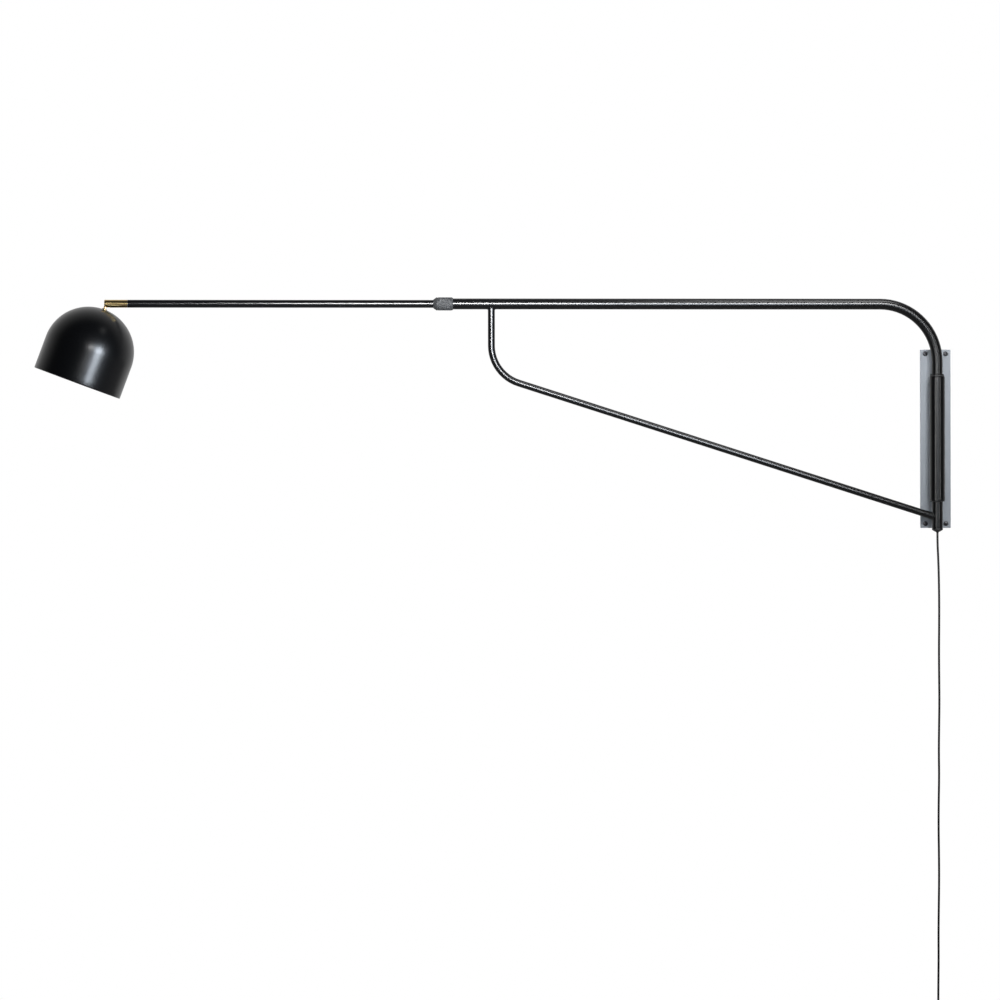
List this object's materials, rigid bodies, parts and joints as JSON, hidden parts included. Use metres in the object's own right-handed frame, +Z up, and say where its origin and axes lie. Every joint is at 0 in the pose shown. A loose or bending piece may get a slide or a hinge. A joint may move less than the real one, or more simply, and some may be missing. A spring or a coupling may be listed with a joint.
{
  "type": "swing arm wall lamp",
  "caption": "Wall lamp with a telescopic swing arm on a braced tube frame, a twist lock collar, a tilting dome shade on a brass knuckle and a hanging cord with an in-line switch and plug.",
  "frame": {"origin": "middle of the wall plate's back face, on the wall", "axes": "+Z up, +Y into the wall, +X to the right as seen from the room; the arm points along -X and the room lies towards -Y"},
  "size_m": [2.1066, 0.2741, 1.941],
  "materials": {
    "black_paint": "satin",
    "plate_paint": "satin",
    "brass": "satin",
    "zinc_steel": "satin",
    "nylon": "matte",
    "black_plastic": "matte",
    "terminal_plastic": "matte",
    "cord_jacket": "satin",
    "tie_strap": "matte",
    "nickel_pin": "polished",
    "lamp_glass": "opal"
  },
  "bodies": {
    "wall_bracket": {"wall_plate": "plate_paint", "plate_screws": "black_paint", "sleeve_blocks": "black_paint", "block_screws": "zinc_steel", "pivot_sleeve": "black_paint", "upper_bush": "nylon", "lower_bush": "nylon", "cord_hanging": "cord_jacket", "cord_drop": "cord_jacket", "cord_coil": "cord_jacket", "cord_tail": "cord_jacket", "coil_tie": "tie_strap", "switch_front": "black_plastic", "switch_back": "black_plastic", "switch_terminals": "terminal_plastic", "plug_relief": "black_plastic", "plug_body": "black_plastic", "plug_pins": "nickel_pin"},
    "arm": {"main_tube": "black_paint", "brace_tube": "black_paint", "support_ring": "black_paint", "leg_cap": "black_plastic", "cord_gland": "black_plastic", "leg_lead": "cord_jacket", "curly_lead": "cord_jacket", "clamp_insert": "zinc_steel", "collet_ring": "nylon"},
    "twist_collar": {"lock_collar": "black_paint"},
    "extension": {"inner_tube": "black_paint", "guide_bush": "nylon", "tail_grommet": "black_plastic", "extension_lead": "cord_jacket", "swivel_washer": "zinc_steel", "swivel_grub": "zinc_steel"},
    "knuckle": {"knuckle_sleeve": "brass", "tilt_pin": "brass", "tilt_washers": "zinc_steel"},
    "shade_head": {"shade_neck": "brass", "shade": "black_paint", "lock_washer": "zinc_steel", "shade_nut": "zinc_steel", "holder_cap": "black_plastic", "lampholder": "black_plastic", "contact_carrier": "terminal_plastic", "lamp_cap": "nickel_pin", "lamp_globe": "lamp_glass", "head_lead": "cord_jacket"},
    "rocker": {"switch_rocker": "black_plastic"}
  },
  "joints": [
    {"name": "arm_swing", "type": "hinge", "parent": "wall_bracket", "child": "arm", "pos_m": [0, -0.04, 0], "axis": [0, 0, 1], "range_deg": [0, 175]},
    {"name": "collar_twist", "type": "hinge", "parent": "arm", "child": "twist_collar", "pos_m": [-1.13492, -0.08955, 0.309], "axis": [-0.999, -0.0436, 0], "range_deg": [0, 90]},
    {"name": "extension_slide", "type": "slide", "parent": "arm", "child": "extension", "axis": [0.999, 0.0436, 0], "range_m": [0, 0.65], "deforming": ["curly_lead"]},
    {"name": "shade_roll", "type": "hinge", "parent": "extension", "child": "knuckle", "pos_m": [-1.86193, -0.12129, 0.309], "axis": [-0.999, -0.0436, 0], "range_deg": [-90, 90]},
    {"name": "shade_tilt", "type": "hinge", "parent": "knuckle", "child": "shade_head", "pos_m": [-1.90139, -0.12302, 0.309], "axis": [-0.0436, 0.999, 0], "range_deg": [-34, 70]},
    {"name": "switch_rock", "type": "hinge", "parent": "wall_bracket", "child": "rocker", "pos_m": [0, -0.0462, -1.351], "axis": [1, 0, 0], "range_deg": [0, 24]}
  ]
}
